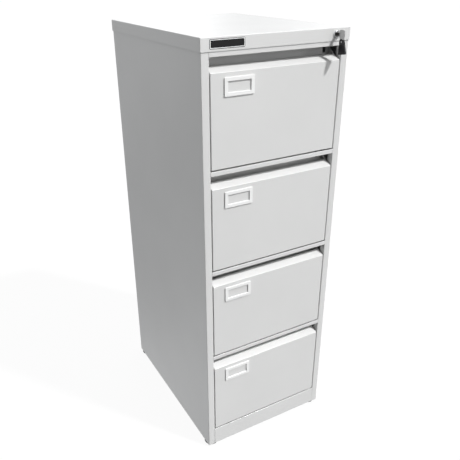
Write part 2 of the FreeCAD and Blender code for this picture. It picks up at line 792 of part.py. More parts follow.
head_outline = [
    leaning(-top_half, s.head_top),
    leaning(-foot_half, -s.head_drop),
    leaning(foot_half, -s.head_drop),
    leaning(top_half, s.head_top),
]
key_head = new_body("key_head")
pad(key_head, "head_paddle", "YZ", [head_outline], head_x, head_end_x)
fork = [
    leaning(-foot_half, s.head_top),
    leaning(-foot_half, -s.fork_depth),
    leaning(foot_half, -s.fork_depth),
    leaning(foot_half, s.head_top),
]
fork_half = s.fork_gap / 2
pocket(key_head, "head_fork", "YZ", [fork], lock_x - fork_half, lock_x + fork_half)
pin_hole = ((pivot_y, pivot_z), s.pivot_radius)
pocket(key_head, "head_pin_hole", "YZ", [pin_hole], head_x, head_end_x)
node(key_head)

pin_start = (head_x - s.pivot_overhang, pivot_y, pivot_z)
pin_length = s.head_thickness + s.pivot_overhang * 2
node(cylinder("key_pin", "X", pin_start, pin_length, s.pivot_radius))

# ---------------------------------------------------------------- checks and files

doc.recompute()
for item in doc.Objects:
    if "Invalid" in item.State or "Error" in item.State:
        raise RuntimeError(f"{item.Label} failed: {item.State}")
for piece in NODES:
    if piece.Shape.isNull() or not piece.Shape.isValid() or not piece.Shape.Solids:
        raise RuntimeError(f"{piece.Label} has no valid solid")

os.makedirs("parts", exist_ok=True)
for piece in NODES:
    piece.Shape.exportStep(f"parts/{piece.Label}.step")
bar_travel = 2 * SIZES["crank_radius"] * math.sin(CRANK_ANGLE)
print(f"{len(NODES)} nodes; lock bar lifts {bar_travel:.2f} mm over {math.degrees(CRANK_SWING):.0f} degrees")
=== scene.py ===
import json
import logging
import math
from dataclasses import dataclass, field
from enum import Enum
from typing import Callable, Iterable, Optional, Sequence

import bmesh
import bpy
from mathutils import Matrix, Vector

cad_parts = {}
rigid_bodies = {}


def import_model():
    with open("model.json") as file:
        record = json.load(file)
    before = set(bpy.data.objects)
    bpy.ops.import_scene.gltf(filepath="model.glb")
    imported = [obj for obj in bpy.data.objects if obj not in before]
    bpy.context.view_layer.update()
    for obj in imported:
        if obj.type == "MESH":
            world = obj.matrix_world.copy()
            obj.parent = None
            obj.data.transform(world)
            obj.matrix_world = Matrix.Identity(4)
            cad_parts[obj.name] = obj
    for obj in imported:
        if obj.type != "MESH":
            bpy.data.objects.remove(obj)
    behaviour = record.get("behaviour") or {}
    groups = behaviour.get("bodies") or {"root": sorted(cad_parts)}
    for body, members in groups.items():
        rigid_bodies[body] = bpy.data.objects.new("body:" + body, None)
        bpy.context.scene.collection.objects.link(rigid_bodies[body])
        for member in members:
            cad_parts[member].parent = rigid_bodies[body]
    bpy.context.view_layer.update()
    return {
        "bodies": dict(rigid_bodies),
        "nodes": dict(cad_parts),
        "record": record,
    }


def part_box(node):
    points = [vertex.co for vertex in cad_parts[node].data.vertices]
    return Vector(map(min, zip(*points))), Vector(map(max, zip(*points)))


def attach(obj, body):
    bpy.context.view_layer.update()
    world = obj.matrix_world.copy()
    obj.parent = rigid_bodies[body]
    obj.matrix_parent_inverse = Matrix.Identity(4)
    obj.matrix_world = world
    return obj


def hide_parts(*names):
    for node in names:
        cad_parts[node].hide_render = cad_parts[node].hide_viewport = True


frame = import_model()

# A four-drawer steel filing cabinet: powder-coated folded sheet, zinc-plated telescopic runners, a
# chromed cam lock with a folding key. Metres throughout, in the frame of the CAD model: +X to the
# right, +Y to the back, +Z up, the floor at zero. Points closer than TOUCH are the same, and a
# direction whose share along an axis is over ALONG runs along it.

log = logging.getLogger("cabinet")
MM = 0.001
TOUCH = 0.001 * MM
ALONG = 0.9
Point = tuple[float, float]
Colour = tuple[float, float, float]


class Hand(Enum):
    """A side of the cabinet, as one faces it."""

    LEFT = -1
    RIGHT = 1


class Axis(Enum):
    """The direction that a section runs along; the section's own two axes are the others, in order."""

    X = 0
    Y = 1
    Z = 2

    def place(self, section: Point, along: float) -> Vector:
        """Puts a section point at a distance along the axis.

        Args:
            section: The two coordinates across the axis.
            along: The coordinate on the axis.

        Returns:
            The point in the cabinet's frame.
        """
        values = list(section)
        values.insert(self.value, along)
        return Vector(values)

    def unit(self) -> Vector:
        """The axis as a vector of length one."""
        return self.place((0.0, 0.0), 1.0)


# ------------------------------------------------------------------------------------- finishes


@dataclass(frozen=True)
class NodeBoard:
    """The node tree of a material or of the sky, with short ways to add what these need."""

    owner: bpy.types.ID

    @staticmethod
    def begin(owner: bpy.types.ID) -> "NodeBoard":
        """Clears the nodes of a new material or world.

        Args:
            owner: The material or the world.

        Returns:
            The board for it.
        """
        owner.use_nodes = True
        owner.node_tree.nodes.clear()
        return NodeBoard(owner)

    def add(self, kind: str, **settings: object) -> bpy.types.Node:
        """Adds a node.

        Args:
            kind: The node's type.
            settings: Attributes of the node to set.

        Returns:
            The node.
        """
        node = self.owner.node_tree.nodes.new(kind)
        for name, value in settings.items():
            setattr(node, name, value)
        return node

    def link(self, source: bpy.types.NodeSocket, target: bpy.types.NodeSocket) -> None:
        """Joins two sockets."""
        self.owner.node_tree.links.new(source, target)

    def stretched(self, where: bpy.types.NodeSocket,
                  stretch: Sequence[float]) -> bpy.types.NodeSocket:
        """Coordinates, stretched along the axes.

        Args:
            where: The coordinates.
            stretch: How much finer the pattern is along each axis.

        Returns:
            The socket that carries them.
        """
        mapping = self.add("ShaderNodeMapping")
        mapping.inputs["Scale"].default_value = stretch
        self.link(where, mapping.inputs["Vector"])
        return mapping.outputs["Vector"]

    def place(self, stretch: Sequence[float] = (1.0, 1.0, 1.0)) -> bpy.types.NodeSocket:
        """Object coordinates, stretched along the axes.

        Args:
            stretch: How much finer the pattern is along each axis.

        Returns:
            The socket that carries them.
        """
        return self.stretched(self.add("ShaderNodeTexCoord").outputs["Object"], stretch)

    def noise(self, where: bpy.types.NodeSocket, scale: float, detail: float,
              roughness: float = 0.5) -> bpy.types.NodeSocket:
        """A noise pattern.

        Args:
            where: The coordinates it reads.
            scale: Its cells to the metre.
            detail: How many finer octaves it has.
            roughness: How strong those are.

        Returns:
            The socket with its value, from nought to one.
        """
        noise = self.add("ShaderNodeTexNoise")
        noise.inputs["Scale"].default_value = scale
        noise.inputs["Detail"].default_value = detail
        noise.inputs["Roughness"].default_value = roughness
        self.link(where, noise.inputs["Vector"])
        return noise.outputs["Fac"]

    def spread(self, value: bpy.types.NodeSocket, low: float, high: float,
               start: float = 0.3, end: float = 0.7) -> bpy.types.NodeSocket:
        """Maps a pattern's range onto another.

        Args:
            value: The pattern.
            low: What its start becomes.
            high: What its end becomes.
            start: The pattern's value at the low end.
            end: Its value at the high end.

        Returns:
            The socket with the new value.
        """
        remap = self.add("ShaderNodeMapRange")
        remap.inputs["From Min"].default_value = start
        remap.inputs["From Max"].default_value = end
        remap.inputs["To Min"].default_value = low
        remap.inputs["To Max"].default_value = high
        self.link(value, remap.inputs["Value"])
        return remap.outputs["Result"]

    def blend(self, amount: bpy.types.NodeSocket, first: Sequence[float],
              second: Sequence[float]) -> bpy.types.NodeSocket:
        """A colour between two, by a pattern.

        Args:
            amount: The pattern, nought for the first colour and one for the second.
            first: Red, green and blue.
            second: Red, green and blue.

        Returns:
            The socket with the colour.
        """
        mix = self.add("ShaderNodeMix", data_type="RGBA")
        mix.inputs["A"].default_value = (*first, 1.0)
        mix.inputs["B"].default_value = (*second, 1.0)
        self.link(amount, mix.inputs["Factor"])
        return mix.outputs["Result"]

    def times(self, first: bpy.types.NodeSocket,
              second: bpy.types.NodeSocket) -> bpy.types.NodeSocket:
        """Multiplies two values.

        Args:
            first: The one.
            second: The other.

        Returns:
            The socket with their product.
        """
        product = self.add("ShaderNodeMath", operation="MULTIPLY")
        self.link(first, product.inputs[0])
        self.link(second, product.inputs[1])
        return product.outputs["Value"]

    def colour(self, shader: bpy.types.Node, pattern: bpy.types.NodeSocket, first: Sequence[float],
               second: Sequence[float]) -> None:
        """Colours a shader between two tones, by a pattern.

        Args:
            shader: The shader.
            pattern: Low for the first tone and high for the second.
            first: Red, green and blue.
            second: Red, green and blue.
        """
        amount = self.spread(pattern, 0.0, 1.0)
        self.link(self.blend(amount, first, second), shader.inputs["Base Color"])

    def bump(self, height: bpy.types.NodeSocket, depth: float, strength: float,
             under: Optional[bpy.types.NodeSocket] = None) -> bpy.types.NodeSocket:
        """A bumped normal.

        Args:
            height: The relief pattern.
            depth: The relief's depth in metres.
            strength: How much of it shows.
            under: A coarser normal that it lies on.

        Returns:
            The socket with the normal.
        """
        bump = self.add("ShaderNodeBump")
        bump.inputs["Distance"].default_value = depth
        bump.inputs["Strength"].default_value = strength
        self.link(height, bump.inputs["Height"])
        if under is not None:
            self.link(under, bump.inputs["Normal"])
        return bump.outputs["Normal"]

    def surface(self, **values: object) -> bpy.types.Node:
        """Adds the shader and the output, and sets its plain values.

        Args:
            values: Socket names, with underscores for spaces, and their values.

        Returns:
            The shader node.
        """
        shader = self.add("ShaderNodeBsdfPrincipled")
        output = self.add("ShaderNodeOutputMaterial")
        self.link(shader.outputs["BSDF"], output.inputs["Surface"])
        for name, value in values.items():
            shader.inputs[name.replace("_", " ")].default_value = value
        return shader


@dataclass(frozen=True)
class PowderCoat:
    """Semi-gloss powder coat: a faint orange peel, slow waves in the sheet and small changes of tone."""

    name: str
    tone: Colour
    roughness: float = 0.32
    roughness_play: float = 0.03
    cloud_scale: float = 9.0
    shade_scale: float = 5.0
    darkest: float = 0.965
    gloss: float = 0.25
    gloss_roughness: float = 0.12
    wave_depth: float = 0.0002
    wave_scale: float = 5.5
    wave_strength: float = 0.5
    wave_stretch: tuple[float, float, float] = (1.0, 1.0, 0.45)
    peel_depth: float = 0.00003
    peel_scale: float = 240.0
    peel_strength: float = 0.15

    def build(self) -> bpy.types.Material:
        """Makes the material."""
        board = NodeBoard.begin(bpy.data.materials.new(self.name))
        where = board.place()
        shader = board.surface(Specular_IOR_Level=0.5, Coat_Weight=self.gloss,
                               Coat_Roughness=self.gloss_roughness)
        darker = tuple(c * self.darkest for c in self.tone)
        board.colour(shader, board.noise(where, self.shade_scale, detail=3.0), darker, self.tone)
        cloud = board.noise(where, self.cloud_scale, detail=1.0)
        rough = board.spread(cloud, self.roughness - self.roughness_play,
                             self.roughness + self.roughness_play, start=0.2, end=0.8)
        board.link(rough, shader.inputs["Roughness"])
        swell = board.noise(board.place(self.wave_stretch), self.wave_scale, detail=1.0)
        waves = board.bump(swell, self.wave_depth, self.wave_strength)
        peel = board.noise(where, self.peel_scale, detail=1.0)
        bumps = board.bump(peel, self.peel_depth, self.peel_strength, waves)
        board.link(bumps, shader.inputs["Normal"])
        return board.owner


@dataclass(frozen=True)
class ZincPlate:
    """Bright zinc on rolled steel: drawn lines along the cabinet's depth and a faint mottle."""

    name: str
    tone: Colour = (0.60, 0.61, 0.62)
    warm_tone: Colour = (0.624, 0.61, 0.5766)
    smoothest: float = 0.30
    roughest: float = 0.52
    grain: tuple[float, float, float] = (60.0, 1.5, 60.0)
    grain_scale: float = 22.0
    grain_depth: float = 0.00002
    grain_strength: float = 0.4
    mottle_scale: float = 90.0

    def build(self) -> bpy.types.Material:
        """Makes the material."""
        board = NodeBoard.begin(bpy.data.materials.new(self.name))
        lines = board.noise(board.place(self.grain), self.grain_scale, detail=4.0)
        mottle = board.noise(board.place(), self.mottle_scale, detail=4.0, roughness=0.65)
        shader = board.surface(Metallic=1.0)
        board.colour(shader, mottle, self.tone, self.warm_tone)
        board.link(board.spread(lines, self.smoothest, self.roughest), shader.inputs["Roughness"])
        bumps = board.bump(lines, self.grain_depth, self.grain_strength)
        board.link(bumps, shader.inputs["Normal"])
        return board.owner


@dataclass(frozen=True)
class Chrome:
    """Bright plate on the lock and key, with fine handling scratches."""

    name: str
    tone: Colour = (0.80, 0.81, 0.82)
    roughness: float = 0.1
    roughness_play: float = 0.1
    haze_scale: float = 240.0
    haze_tone: float = 0.88
    scratch_stretch: tuple[float, float, float] = (1.0, 1.0, 9.0)
    scratch_scale: float = 900.0
    scratch_depth: float = 0.00001
    scratch_strength: float = 0.3

    def build(self) -> bpy.types.Material:
        """Makes the material."""
        board = NodeBoard.begin(bpy.data.materials.new(self.name))
        scratches = board.noise(board.place(self.scratch_stretch), self.scratch_scale, detail=3.0)
        haze = board.noise(board.place(), self.haze_scale, detail=3.0)
        shader = board.surface(Metallic=1.0)
        board.colour(shader, haze, self.tone, tuple(c * self.haze_tone for c in self.tone))
        rough = board.spread(haze, self.roughness, self.roughness + self.roughness_play)
        board.link(rough, shader.inputs["Roughness"])
        bumps = board.bump(scratches, self.scratch_depth, self.scratch_strength)
        board.link(bumps, shader.inputs["Normal"])
        return board.owner


@dataclass(frozen=True)
class MouldedPlastic:
    """Moulded plastic with a fine spark-eroded grain and slightly rubbed gloss."""

    name: str
    tone: Colour
    roughness: float
    grain_scale: float = 1400.0
    grain_depth: float = 0.00002
    grain_strength: float = 0.4
    rub_scale: float = 120.0
    rub_gain: float = 1.35
    rub_lift: float = 0.003
    rub_smoother: float = 0.06
    rub_rougher: float = 0.08
    shine: float = 0.3

    def build(self) -> bpy.types.Material:
        """Makes the material."""
        board = NodeBoard.begin(bpy.data.materials.new(self.name))
        where = board.place()
        rub = board.noise(where, self.rub_scale, detail=3.0)
        shader = board.surface(Specular_IOR_Level=self.shine)
        lighter = tuple(c * self.rub_gain + self.rub_lift for c in self.tone)
        board.colour(shader, rub, self.tone, lighter)
        rough = board.spread(rub, self.roughness - self.rub_smoother, self.roughness + self.rub_rougher)
        board.link(rough, shader.inputs["Roughness"])
        grain = board.noise(where, self.grain_scale, detail=2.0)
        bumps = board.bump(grain, self.grain_depth, self.grain_strength)
        board.link(bumps, shader.inputs["Normal"])
        return board.owner


class Finish(Enum):
    """The cabinet's finishes, each with the record's material slot that it stands for."""

    COAT = (PowderCoat("grey_powder_coat", (0.70, 0.70, 0.695)), "grey_paint")
    # The label holder's frame is coloured paler than the drawer face. This is partly the frame's own
    # paler finish and partly a painted highlight for the light that the raised frame catches.
    HOLDER = (PowderCoat("label_holder_paler_coat_and_highlight", (0.88, 0.88, 0.875), roughness=0.24), "grey_paint")
    ZINC = (ZincPlate("zinc_plate"), "zinc_steel")
    CHROME = (Chrome("chrome_plate"), "chrome")
    PLUG = (Chrome("dull_nickel", (0.30, 0.29, 0.28), roughness=0.16), "chrome")
    KEY_STEEL = (Chrome("key_steel", (0.50, 0.50, 0.50), roughness=0.16), "chrome")
    BLACK = (MouldedPlastic("black_plastic", (0.006, 0.006, 0.0065), roughness=0.4), "black_plastic")
    BADGE = (MouldedPlastic("badge_enamel", (0.004, 0.004, 0.0045), roughness=0.55), "black_plastic")
    EDGING = (MouldedPlastic("badge_edging", (0.85, 0.86, 0.86), roughness=0.38), "black_plastic")
    GLIDE = (
        MouldedPlastic("black_glide", (0.018, 0.018, 0.018), roughness=0.55, grain_scale=700.0),
        "black_glide",
    )

    @property
    def slot(self) -> str:
        """The record's slot."""
        return self.value[1]

    def material(self) -> bpy.types.Material:
        """The finish's material, made once."""
        recipe = self.value[0]
        return bpy.data.materials.get(recipe.name) or recipe.build()


# ---------------------------------------------------------------------------------- mesh building


def rectangle(low: Point, high: Point) -> list[Point]:
    """A rectangle's corners, anticlockwise.

    Args:
        low: Its lowest corner.
        high: Its highest corner.

    Returns:
        The four corners, from the lowest.
    """
    return [low, (high[0], low[1]), high, (low[0], high[1])]


def round_edges(part: bmesh.types.BMesh, edges: Sequence[bmesh.types.BMEdge], radius: float,
                segments: int) -> None:
    """Rounds edges of a mesh.

    Args:
        part: The mesh.
        edges: The edges.
        radius: The rounding's radius.
        segments: Its facets.
    """
    bmesh.ops.bevel(part, geom=edges, offset=radius, offset_type="OFFSET", segments=segments,
                    profile=0.5, affect="EDGES", material=-1)


def pull(part: bmesh.types.BMesh, grown: Iterable[object], by: Vector) -> None:
    """Moves the corners that an extrusion has made.

    Args:
        part: The mesh.
        grown: All that the extrusion has made.
        by: How far they move.
    """
    corners = [item for item in grown if isinstance(item, bmesh.types.BMVert)]
    bmesh.ops.translate(part, verts=corners, vec=by)


@dataclass
class Piece:
    """One new piece: closed shells gathered in a mesh, then made an object on a body.

    Attributes:
        name: The piece's name.
        finish: Its finish.
        body: The CAD body that it rides on.
        replaces: The CAD nodes that it stands for.
    """

    name: str
    finish: Finish
    body: str
    replaces: Sequence[str] = ()
    mesh: bmesh.types.BMesh = field(default_factory=bmesh.new, repr=False)

    def take(self, part: bmesh.types.BMesh) -> None:
        """Adds a finished shell to the piece and frees it."""
        scratch = bpy.data.meshes.new("scratch")
        part.to_mesh(scratch)
        part.free()
        self.mesh.from_mesh(scratch)
        bpy.data.meshes.remove(scratch)

    def fold(self, axis: Axis, path: Sequence[Point], low: float, high: float, gauge: float,
             bend: float, segments: int = 3) -> None:
        """Adds a folded sheet with rounded bends.

        Args:
            axis: The direction of the folds.
            path: The sheet's outer face in section.
            low: Where it starts along the axis.
            high: Where it ends.
            gauge: Its thickness, to the left of the path, or to the right if negative.
            bend: The bends' outer radius.
            segments: The facets of each bend.
        """
        part = bmesh.new()
        corners = [part.verts.new(axis.place(point, low)) for point in path]
        edges = [part.edges.new(pair) for pair in zip(corners, corners[1:])]
        grown = bmesh.ops.extrude_edge_only(part, edges=edges)["geom"]
        pull(part, grown, axis.unit() * (high - low))
        (ax, ay), (bx, by) = path[0], path[1]
        left = axis.place((ay - by, bx - ax), 0.0) * (1 if gauge > 0 else -1)
        bmesh.ops.recalc_face_normals(part, faces=part.faces[:])
        first = min(part.faces, key=lambda face: (face.calc_center_median() - axis.place(
            ((ax + bx) / 2, (ay + by) / 2), (low + high) / 2)).length)
        if first.normal.dot(left) > 0:
            bmesh.ops.reverse_faces(part, faces=part.faces[:])
        folds = [edge for edge in part.edges if len(edge.link_faces) == 2]
        if folds:
            round_edges(part, folds, bend, segments)
        bmesh.ops.solidify(part, geom=part.faces[:], thickness=abs(gauge))
        self.take(part)

    def prism(self, axis: Axis, outline: Sequence[Point], low: float, high: float,
              edge_radius: float = 0.0, segments: int = 2,
              choose: Optional[Callable[[bmesh.types.BMEdge], bool]] = None) -> None:
        """Adds a solid of one outline, with rounded edges.

        Args:
            axis: The direction that the outline is drawn out along.
            outline: The corners across that axis.
            low: Where the solid starts.
            high: Where it ends.
            edge_radius: The edges' radius, or nought for sharp ones.
            segments: The facets of each rounding.
            choose: Picks the edges to round; all of them if left out.
        """
        part = bmesh.new()
        face = part.faces.new([part.verts.new(axis.place(point, low)) for point in outline])
        grown = bmesh.ops.extrude_face_region(part, geom=[face])["geom"]
        pull(part, grown, axis.unit() * (high - low))
        bmesh.ops.recalc_face_normals(part, faces=part.faces[:])
        if edge_radius:
            edges = [edge for edge in part.edges if choose is None or choose(edge)]
            round_edges(part, edges, edge_radius, segments)
        self.take(part)

    def ring(self, axis: Axis, outer: tuple[Point, Point], inner: tuple[Point, Point], low: float,
             high: float, corner: float, edge_radius: float) -> None:
        """Adds a rectangular frame round a window.

        Args:
            axis: The direction that it faces.
            outer: Two opposite outer corners.
            inner: Two opposite corners of the window.
            low: Where it starts along the axis.
            high: Where it ends.
            corner: The radius of the outer corners.
            edge_radius: The radius of the other edges.
        """
        part = bmesh.new()
        loops = []
        for corners in (outer, inner):
            loops.append([part.verts.new(axis.place(point, low)) for point in rectangle(*corners)])
        for i in range(4):
            j = (i + 1) % 4
            part.faces.new((loops[0][i], loops[0][j], loops[1][j], loops[1][i]))
        grown = bmesh.ops.extrude_face_region(part, geom=part.faces[:])["geom"]
        pull(part, grown, axis.unit() * (high - low))
        bmesh.ops.recalc_face_normals(part, faces=part.faces[:])
        limits = [axis.place(point, 0.0) for point in outer]

        def at_outer_corner(edge: bmesh.types.BMEdge) -> bool:
            """Whether the edge runs through the frame's thickness at an outer corner."""
            across = abs((edge.verts[0].co - edge.verts[1].co).normalized().dot(axis.unit())) > ALONG
            middle = (edge.verts[0].co + edge.verts[1].co) / 2
            on_limit = [
                any(abs(middle[k] - limit[k]) < TOUCH for limit in limits)
                for k in range(3) if k != axis.value
            ]
            return across and all(on_limit)

        through = [edge for edge in part.edges if at_outer_corner(edge)]
        round_edges(part, through, corner, segments=4)
        nearly_square = math.radians(70)
        sharp = [
            edge for edge in part.edges
            if edge.is_manifold and edge.calc_face_angle() > nearly_square
        ]
        round_edges(part, sharp, edge_radius, segments=2)
        self.take(part)

    def turned(self, centre: Vector, axis: Axis, profile: Sequence[Point], steps: int = 40) -> None:
        """Adds a turned part.

        Args:
            centre: A point on its axis.
            axis: The direction of its axis.
            profile: Radius and distance along the axis, in order; it starts and ends on the axis
                or, for a ring, where it began.
            steps: The facets of the turn.
        """
        part = bmesh.new()
        across = Axis((axis.value + 1) % 3).unit()
        points = [centre + across * radius + axis.unit() * along for radius, along in profile]
        corners = [part.verts.new(point) for point in points]
        edges = [part.edges.new(pair) for pair in zip(corners, corners[1:])]
        bmesh.ops.spin(part, geom=corners + edges, cent=centre, axis=axis.unit(),
                       angle=math.tau, steps=steps, use_merge=True, use_duplicate=False)
        bmesh.ops.remove_doubles(part, verts=part.verts[:], dist=TOUCH)
        bmesh.ops.recalc_face_normals(part, faces=part.faces[:])
        self.take(part)

    def balls(self, centres: Iterable[Vector], radius: float) -> None:
        """Adds a small ball at each centre."""
        for centre in centres:
            part = bmesh.new()
            bmesh.ops.create_uvsphere(part, u_segments=8, v_segments=6, radius=radius)
            bmesh.ops.translate(part, verts=part.verts[:], vec=centre)
            self.take(part)

    def done(self, smooth_angle: float = math.radians(35)) -> bpy.types.Object:
        """Makes the object, gives it its finish and hangs it on its body.

        Args:
            smooth_angle: Faces that meet at less than this are shaded as one.

        Returns:
            The finished object.
        """
        for face in self.mesh.faces:
            face.smooth = True
        for edge in self.mesh.edges:
            edge.smooth = not edge.is_manifold or edge.calc_face_angle(0.0) < smooth_angle
        data = bpy.data.meshes.new(self.name)
        self.mesh.to_mesh(data)
        triangles = sum(len(face.verts) - 2 for face in self.mesh.faces)
        self.mesh.free()
        piece = bpy.data.objects.new(self.name, data)
        bpy.context.scene.collection.objects.link(piece)
        data.materials.append(self.finish.material())
        shading = piece.modifiers.new("flat_faces_stay_flat", "WEIGHTED_NORMAL")
        shading.keep_sharp = True
        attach(piece, self.body)
        if self.replaces:
            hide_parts(*self.replaces)
        log.info("%s: %d triangles, %s, on %s", self.name, triangles, self.finish.name, self.body)
        return piece


def mirror_pairs(points: Sequence[Point]) -> list[Point]:
    """An outline and its mirror image across the first axis, as one closed outline.

    Args:
        points: The half outline with a positive first coordinate, in order.

    Returns:
        The whole outline.
    """
    return list(points) + [(-a, b) for a, b in reversed(points)]


# --------------------------------------------------------------------------------------- carcass


def drawer_count() -> int:
    """How many drawers the cabinet has."""
    return sum(name.startswith("drawer_") for name in frame["bodies"])


@dataclass
class Carcass:
    """The fixed shell: side panels, back, cap, rails, plinth and glides.

    Attributes:
        foot_profile: A glide's outline, in shares of its radius and of its height.
        foot_stem: The radius of its stem, as a share of its own.
    """

    gauge: float = 0.9 * MM
    bend: float = 2.2 * MM
    rail_bend: float = 1.0 * MM
    stile_width: float = 23 * MM
    stile_return: float = 20 * MM
    rear_flange: float = 20 * MM
    rail_hem: float = 2.4 * MM
    rail_step: float = 8 * MM
    back_bead_inset: float = 45 * MM
    back_bead_depth: float = 1.5 * MM
    foot_height: float = 8 * MM
    foot_radius: float = 23 * MM
    foot_stem: float = 0.2
    foot_profile: Sequence[Point] = (
        (0.0, 0.0), (0.9, 0.0), (0.97, 0.12), (1.0, 0.3), (1.0, 0.75), (0.96, 0.92), (0.88, 1.0),
    )
    body: str = "carcass"

    def build(self) -> None:
        """Builds every piece of the carcass."""
        for hand in Hand:
            self.side_panel(hand)
        self.back_panel()
        self.top_cap()
        self.rail("top_rail_shell", ["top_rail"], [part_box("top_rail")], hemmed=False)
        self.cross_rails()
        self.rail("plinth_shell", ["plinth"], [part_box("plinth")], hemmed=True)
        self.feet()

    def side_panel(self, hand: Hand) -> None:
        """Folds one side panel with its stile, return and rear flange."""
        node = f"{hand.name.lower()}_side_panel"
        low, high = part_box(node)
        outer = high.x if hand is Hand.RIGHT else low.x
        inward = -hand.value
        opening = outer + inward * self.stile_width
        path = [
            (opening, low.y + self.stile_return),
            (opening, low.y),
            (outer, low.y),
            (outer, high.y),
            (outer + inward * self.rear_flange, high.y),
        ]
        piece = Piece(f"{node}_shell", Finish.COAT, self.body, [node])
        piece.fold(Axis.Z, path, low.z, high.z, self.gauge * hand.value, self.bend)
        piece.done()

    def back_panel(self) -> None:
        """Presses the back panel, with one shallow raised field."""
        low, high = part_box("back_panel")
        piece = Piece("back_panel_shell", Finish.COAT, self.body, ["back_panel"])
        part = bmesh.new()
        corners = rectangle((low.x, low.z), (high.x, high.z))
        part.faces.new([part.verts.new((x, high.y, z)) for x, z in reversed(corners)])
        part.normal_update()
        face = part.faces[:]
        bmesh.ops.inset_region(part, faces=face, thickness=self.back_bead_inset, use_boundary=True)
        raised = [f for f in part.faces if f.calc_area() > 0.5 * (high.x - low.x) * (high.z - low.z)]
        bmesh.ops.inset_region(part, faces=raised, thickness=self.back_bead_depth * 2,
                               depth=-self.back_bead_depth)
        bmesh.ops.solidify(part, geom=part.faces[:], thickness=self.gauge)
        piece.take(part)
        piece.done()

    def top_cap(self) -> None:
        """Folds the cap: a flat top with a lip all round and closed, rounded corners."""
        low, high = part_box("top_cap")
        piece = Piece("top_cap_shell", Finish.COAT, self.body, ["top_cap"])
        part = bmesh.new()
        size = high - low
        middle = Matrix.Translation((low + high) / 2) @ Matrix.Diagonal((*size, 1.0))
        bmesh.ops.create_cube(part, size=1.0, matrix=middle)
        under = [face for face in part.faces if face.normal.z < -ALONG]
        bmesh.ops.delete(part, geom=under, context="FACES_ONLY")
        folds = [edge for edge in part.edges if len(edge.link_faces) == 2]
        round_edges(part, folds, self.bend, segments=4)
        bmesh.ops.solidify(part, geom=part.faces[:], thickness=self.gauge)
        piece.take(part)
        piece.done()

    def rail(self, name: str, nodes: Sequence[str], boxes: Sequence[tuple[Vector, Vector]],
             hemmed: bool) -> None:
        """Folds rails of channel section, open to the back.

        Args:
            name: The piece's name.
            nodes: The CAD nodes that it stands for.
            boxes: The lowest and highest corner of each rail.
            hemmed: Whether the upper flange starts lower down, behind a hem along the top edge.
        """
        piece = Piece(name, Finish.COAT, self.body, nodes)
        for low, high in boxes:
            path = [(high.y, low.z), (low.y, low.z), (low.y, high.z)]
            if hemmed:
                hem_y, step_z = low.y + self.rail_hem, high.z - self.rail_step
                path += [(hem_y, high.z), (hem_y, step_z), (high.y, step_z)]
            else:
                path.append((high.y, high.z))
            piece.fold(Axis.X, path, low.x, high.x, -self.gauge, self.rail_bend)
        piece.done()

    def cross_rails(self) -> None:
        """Folds the rails between the drawers.

        The openings and these rails together fill the height from the plinth to the top rail, which
        gives a rail's height and the distance from one rail to the next.
        """
        low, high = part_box("cross_rails")
        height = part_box("top_rail")[0].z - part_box("plinth")[1].z
        span = high.z - low.z
        share = (drawer_count() - 2) / drawer_count()
        rail_height = (span - height * share) / (1 + share)
        pitch = (span - rail_height) / (drawer_count() - 2)
        bottoms = [low.z + pitch * i for i in range(drawer_count() - 1)]
        boxes = [
            (Vector((low.x, low.y, bottom)), Vector((high.x, high.y, bottom + rail_height)))
            for bottom in bottoms
        ]
        self.rail("cross_rails_shell", ["cross_rails"], boxes, hemmed=True)

    def feet(self) -> None:
        """Turns the four glides, each a domed pad with a stem."""
        low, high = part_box("feet")
        piece = Piece("foot_glides", Finish.GLIDE, self.body, ["feet"])
        radius, height = self.foot_radius, self.foot_height
        profile = [(radius * across, height * up) for across, up in self.foot_profile]
        stem = radius * self.foot_stem
        profile += [(stem, height), (stem, high.z), (0.0, high.z)]
        for x in (low.x + radius, high.x - radius):
            for y in (low.y + radius, high.y - radius):
                piece.turned(Vector((x, y, 0.0)), Axis.Z, profile)
        piece.done()


